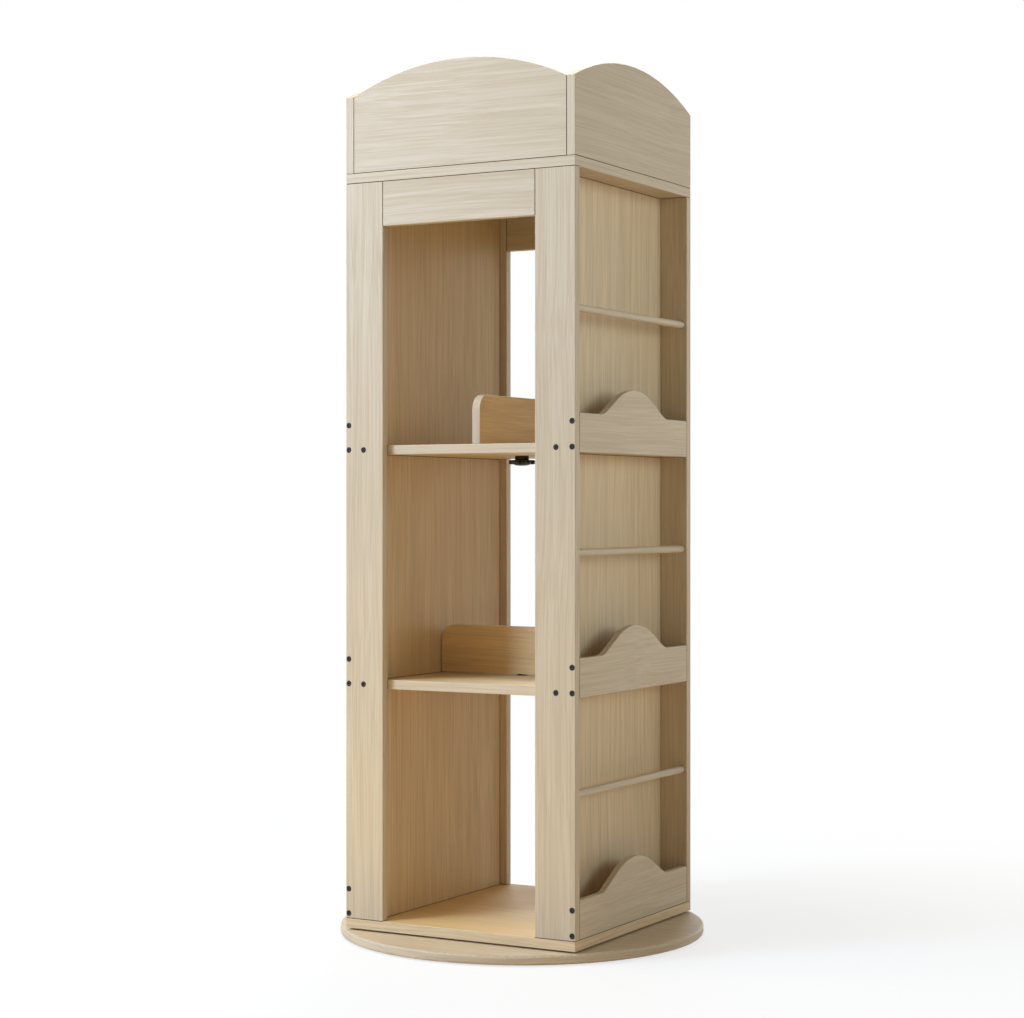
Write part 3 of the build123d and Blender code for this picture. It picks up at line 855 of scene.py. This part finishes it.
class BOOKCASE_OT_uprights(bpy.types.Operator):
    """Dress the stiles and the headers between them"""

    bl_idname = "bookcase.uprights"
    bl_label = "Stiles and headers"

    def execute(self, context):
        dress_boards([f"stile_{corner}" for corner in CORNERS], "Z", "Y", 1, 1.35)
        dress_boards([f"header_{end}" for end in ENDS], "X", "Y", 9, 1.3)
        return {"FINISHED"}


class BOOKCASE_OT_end_boards(bpy.types.Operator):
    """Dress the bottom board and the top board"""

    bl_idname = "bookcase.end_boards"
    bl_label = "Bottom and top board"

    def execute(self, context):
        dress_boards(["top_board"], "X", "Z", 15, 1.2)
        # The bottom board's warm tint is painted bounce light, and its bright edge tint is painted
        # light on an edge in shade
        dress_boards(["bottom_board"], "X", "Z", 17, 1.2, DEEP_HONEY_PAINTED_LIGHT, edge_tint=WARM_BRIGHT_PAINTED_LIGHT)
        return {"FINISHED"}


class BOOKCASE_OT_crown(bpy.types.Operator):
    """Dress the four arched crown boards"""

    bl_idname = "bookcase.crown"
    bl_label = "Crown boards"

    def execute(self, context):
        dress_boards([f"crown_{end}" for end in ENDS], "X", "Y", 21, 0.95)
        dress_boards([f"crown_{side}" for side in SIDES], "Y", "X", 27, 1.05)
        return {"FINISHED"}


class BOOKCASE_OT_shelves(bpy.types.Operator):
    """Dress the two shelves"""

    bl_idname = "bookcase.shelves"
    bl_label = "Shelves"

    def execute(self, context):
        dress_boards([f"{level}_shelf" for level in LEVELS], "X", "Z", 33, 1.2, HONEY_PAINTED_LIGHT)
        return {"FINISHED"}


class BOOKCASE_OT_side_panels(bpy.types.Operator):
    """Dress the thin panels behind the pockets"""

    bl_idname = "bookcase.side_panels"
    bl_label = "Side panels"

    def execute(self, context):
        names = [f"side_panel_{pocket}" for pocket in POCKETS]
        dress_boards(names, "Z", "X", 41, 1.4, WARM_HONEY_PAINTED_LIGHT, coarse=1.1)
        return {"FINISHED"}


class BOOKCASE_OT_pocket_lips(bpy.types.Operator):
    """Dress the humped lips of the pockets"""

    bl_idname = "bookcase.pocket_lips"
    bl_label = "Pocket lips"

    def execute(self, context):
        dress_boards([f"pocket_lip_{pocket}" for pocket in POCKETS], "Y", "X", 53, 1.2)
        return {"FINISHED"}


class BOOKCASE_OT_pocket_rods(bpy.types.Operator):
    """Dress the round rods across the pockets"""

    bl_idname = "bookcase.pocket_rods"
    bl_label = "Pocket rods"

    def execute(self, context):
        dress_boards([f"pocket_rod_{pocket}" for pocket in POCKETS], "Y", "Y", 67, 0.8)
        return {"FINISHED"}


class BOOKCASE_OT_dividers(bpy.types.Operator):
    """Dress the swivel dividers with their inserts and washers"""

    bl_idname = "bookcase.dividers"
    bl_label = "Swivel dividers"

    def execute(self, context):
        # The two dividers are one wood; their different tints are painted light and shade
        dress_boards(["upper_divider"], "Y", "X", 79, 1.1, GOLDEN_PAINTED_LIGHT, coarse=1.1)
        dress_boards(["lower_divider"], "X", "Y", 83, 1.1, LIGHT_GOLDEN_PAINTED_LIGHT, coarse=1.1)
        brass = metal_finish("brass_insert", (0.50, 0.34, 0.11), (0.66, 0.48, 0.20), 0.32)
        nylon = plastic_finish("nylon_washer", (0.02, 0.02, 0.02), 0.5)
        for level in LEVELS:
            dress(f"{level}_divider_insert", brass)
            dress(f"{level}_pivot_washer", nylon)
        return {"FINISHED"}


class BOOKCASE_OT_knobs(bpy.types.Operator):
    """Model the clamp knobs and dress their studs"""

    bl_idname = "bookcase.knobs"
    bl_label = "Clamp knobs"

    def execute(self, context):
        hardware = context.scene.bookcase_hardware
        plastic = plastic_finish("knob_plastic", hardware.knob_colour, 0.36)
        steel = metal_finish("stud_steel", (0.42, 0.42, 0.40), (0.60, 0.60, 0.58), 0.3)
        points, faces = loft(knob_rings(hardware), KNOB_SEGMENTS)
        for level in LEVELS:
            low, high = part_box(f"{level}_knob")
            axis = (low + high) / 2
            placed = [(axis.x + x, axis.y + y, high.z + z) for x, y, z in points]
            node = f"{level}_knob"
            new_piece(f"star_knob_{level}", placed, faces, plastic, node, [node])
            dress(f"{level}_knob_stud", steel)
        return {"FINISHED"}


class BOOKCASE_OT_stile_screws(bpy.types.Operator):
    """Model the dark socket screws in the stile faces"""

    bl_idname = "bookcase.stile_screws"
    bl_label = "Stile screws"

    def execute(self, context):
        hardware = context.scene.bookcase_hardware
        points, faces = place_screws(
            "stile_screws",
            lambda head, length: socket_screw_rings(hardware, length),
            lambda middle: (0.0, math.copysign(1.0, middle.y), 0.0),
        )
        finish = screw_finish("black_oxide")
        piece = new_piece(
            "socket_screws", points, faces, finish, "carousel", ["stile_screws"],
        )
        ring_count = len(socket_screw_rings(hardware, 1.0))
        rub = piece.data.attributes.new("socket_rub", "FLOAT", "POINT")
        for index, value in enumerate(rub.data):
            ring = index // SCREW_SEGMENTS % ring_count
            value.value = 1.0 if ring < SOCKET_RINGS else 0.0
        return {"FINISHED"}


class BOOKCASE_OT_flat_screws(bpy.types.Operator):
    """Model the countersunk screws of the end boards and of the turntable rings"""

    bl_idname = "bookcase.flat_screws"
    bl_label = "Countersunk screws"

    def execute(self, context):
        hardware = context.scene.bookcase_hardware
        zinc = metal_finish("zinc_plate", (0.40, 0.41, 0.41), (0.58, 0.58, 0.56), 0.34)
        down, up = (0.0, 0.0, -1.0), (0.0, 0.0, 1.0)
        families = (
            ("base_screws", "carousel", down),
            ("roof_screws", "carousel", up),
            ("bearing_lower_screws", "base", down),
            ("bearing_upper_screws", "carousel", down),
        )
        for node, body, direction in families:
            points, faces = place_screws(
                node,
                lambda head, length: flat_screw_rings(hardware, head, length),
                lambda middle, direction=direction: direction,
            )
            new_piece(f"cross_{node}", points, faces, zinc, body, [node])
        return {"FINISHED"}


class BOOKCASE_OT_dowels(bpy.types.Operator):
    """Dress the dowels of the headers and of the crown"""

    bl_idname = "bookcase.dowels"
    bl_label = "Dowels"

    def execute(self, context):
        dress_boards(["header_dowels", "crown_corner_dowels"], "X", "X", 91, 1.2)
        dress_boards(["crown_foot_dowels"], "Z", "Z", 95, 1.2)
        return {"FINISHED"}


class BOOKCASE_OT_base(bpy.types.Operator):
    """Dress the base disc and its felt pads"""

    bl_idname = "bookcase.base"
    bl_label = "Base disc and pads"

    def execute(self, context):
        # The disc's face and rim tints are painted light as well as the board's tone
        dress_boards(["base_disc"], "X", "Z", 99, 1.3, PALE_HONEY_PAINTED_LIGHT, edge_tint=BRIGHT_PAINTED_LIGHT, round_rim=True)
        dress("foot_pads", felt_finish("pressed_felt"))
        return {"FINISHED"}


class BOOKCASE_OT_turntable(bpy.types.Operator):
    """Dress the rings, the cage and the balls of the turntable"""

    bl_idname = "bookcase.turntable"
    bl_label = "Ball turntable"

    def execute(self, context):
        rings = metal_finish("ring_aluminium", (0.48, 0.48, 0.49), (0.64, 0.64, 0.65), 0.36)
        balls = metal_finish("ball_steel", (0.52, 0.52, 0.53), (0.62, 0.62, 0.63), 0.14)
        cage = plastic_finish("cage_nylon", (0.64, 0.62, 0.56), 0.45)
        for node in ("bearing_lower_ring", "bearing_upper_ring"):
            dress(node, rings)
        dress("bearing_balls", balls)
        dress("bearing_cage", cage)
        return {"FINISHED"}


# Studio

def softbox(name, power, place, target, size, spread):
    """A square softbox that shines on a target; power is given by colour, spread in degrees."""
    lamp = bpy.data.lights.new(name, "AREA")
    lamp.shape = "SQUARE"
    lamp.size = size
    lamp.spread = math.radians(spread)
    strongest = max(max(power), 1e-6)
    lamp.energy = strongest
    lamp.color = [part / strongest for part in power]
    lamp_object = bpy.data.objects.new(name, lamp)
    lamp_object.location = place
    aim = Vector(target) - Vector(place)
    lamp_object.rotation_euler = aim.to_track_quat("-Z", "Y").to_euler()
    lamp_object.visible_camera = False
    bpy.context.scene.collection.objects.link(lamp_object)


def seen_rays(tree):
    """1 for rays that show a background: straight, in a gloss or through glass."""
    path = put_node(tree, "ShaderNodeLightPath").outputs
    seen = math_of(tree, "MAXIMUM", path["Is Camera Ray"], path["Is Glossy Ray"])
    return math_of(tree, "MAXIMUM", seen, path["Is Transmission Ray"])


def room_light(studio):
    """Even light from all round, in front of a white background."""
    world = bpy.data.worlds.new("studio_room")
    bpy.context.scene.world = world
    world.use_nodes = True
    tree = world.node_tree
    tree.nodes.clear()
    light = put_node(tree, "ShaderNodeBackground", {"Color": as_colour(studio.ambient)})
    white = put_node(tree, "ShaderNodeBackground", {"Color": (1.0, 1.0, 1.0, 1.0)})
    inputs = {0: seen_rays(tree), 1: light.outputs[0], 2: white.outputs[0]}
    both = put_node(tree, "ShaderNodeMixShader", inputs)
    put_node(tree, "ShaderNodeOutputWorld", {"Surface": both.outputs[0]})


def pale_floor(studio):
    """A wide pale floor that keeps the shadow and fades to the white background."""
    half = 6.0
    corners = [(-half, -half, 0), (half, -half, 0), (half, half, 0), (-half, half, 0)]
    mesh = bpy.data.meshes.new("studio_floor")
    mesh.from_pydata(corners, [], [(0, 1, 2, 3)])
    floor = bpy.data.objects.new("studio_floor", mesh)
    bpy.context.scene.collection.objects.link(floor)
    material, tree, shader, coords = open_finish("pale_floor")
    cloud = noise_of(tree, coords["Object"], 3.0, 3.0)
    dim = tuple(0.97 * part for part in studio.floor_colour)
    tone = blend_of(tree, cloud, dim, studio.floor_colour)
    seen = seen_rays(tree)
    tone = blend_of(tree, seen, tone, (1.0, 1.0, 1.0))
    tree.links.new(tone, shader.inputs["Base Color"])
    shader.inputs["Roughness"].default_value = 0.9
    reach = vector_of(tree, "LENGTH", coords["Object"], output="Value")
    veil = ramp_of(tree, reach, 0.3, 1.4, 0.72, 1.0)
    white = put_node(tree, "ShaderNodeEmission", {"Color": (1.0, 1.0, 1.0, 1.0)})
    share = math_of(tree, "MULTIPLY", seen, veil)
    inputs = {0: share, 1: shader.outputs[0], 2: white.outputs[0]}
    both = put_node(tree, "ShaderNodeMixShader", inputs)
    tree.links.new(both.outputs[0], tree.nodes["Material Output"].inputs["Surface"])
    mesh.materials.append(material)


class BOOKCASE_OT_stage(bpy.types.Operator):
    """Set up the camera, the softboxes, the room light and the pale floor"""

    bl_idname = "bookcase.stage"
    bl_label = "Studio"

    def execute(self, context):
        studio = context.scene.bookcase_studio
        lens = bpy.data.cameras.new("studio_camera")
        lens.sensor_fit = "HORIZONTAL"
        lens.sensor_width = 36.0
        lens.lens = studio.focal_length
        lens.clip_end = 50.0
        camera = bpy.data.objects.new("studio_camera", lens)
        camera.location = studio.camera_place
        camera.rotation_euler = (math.pi / 2, 0.0, studio.camera_turn)
        context.scene.collection.objects.link(camera)
        context.scene.camera = camera
        for name, setting, *form in LAMPS:
            softbox(name, getattr(studio, setting), *form)
        room_light(studio)
        pale_floor(studio)
        context.scene.view_settings.view_transform = "Standard"
        return {"FINISHED"}


STEPS = (
    BOOKCASE_OT_uprights,
    BOOKCASE_OT_end_boards,
    BOOKCASE_OT_crown,
    BOOKCASE_OT_shelves,
    BOOKCASE_OT_side_panels,
    BOOKCASE_OT_pocket_lips,
    BOOKCASE_OT_pocket_rods,
    BOOKCASE_OT_dividers,
    BOOKCASE_OT_knobs,
    BOOKCASE_OT_stile_screws,
    BOOKCASE_OT_flat_screws,
    BOOKCASE_OT_dowels,
    BOOKCASE_OT_base,
    BOOKCASE_OT_turntable,
    BOOKCASE_OT_stage,
)


class BOOKCASE_PT_sidebar(bpy.types.Panel):
    """Settings and steps of the bookcase"""

    bl_idname = "BOOKCASE_PT_sidebar"
    bl_label = "Revolving Bookcase"
    bl_space_type = "VIEW_3D"
    bl_region_type = "UI"
    bl_category = "Bookcase"

    def draw(self, context):
        for name in SETTINGS:
            box = self.layout.box()
            group = getattr(context.scene, name)
            for field in group.__annotations__:
                box.prop(group, field)
        for step in STEPS:
            self.layout.operator(step.bl_idname)


SETTINGS = {
    "bookcase_wood": BookcaseWood,
    "bookcase_hardware": BookcaseHardware,
    "bookcase_studio": BookcaseStudio,
}
CLASSES = (*SETTINGS.values(), *STEPS, BOOKCASE_PT_sidebar)


def register():
    """Registers the classes and hangs the settings on the scene."""
    for made in CLASSES:
        bpy.utils.register_class(made)
    for name, group in SETTINGS.items():
        setattr(bpy.types.Scene, name, bpy.props.PointerProperty(type=group))


def unregister():
    """Takes the settings off the scene and unregisters the classes."""
    for name in SETTINGS:
        delattr(bpy.types.Scene, name)
    for made in reversed(CLASSES):
        bpy.utils.unregister_class(made)


def main():
    """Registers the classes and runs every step."""
    register()
    for step in STEPS:
        getattr(bpy.ops.bookcase, step.bl_idname.split(".")[1])()


if __name__ == "__main__":
    main()
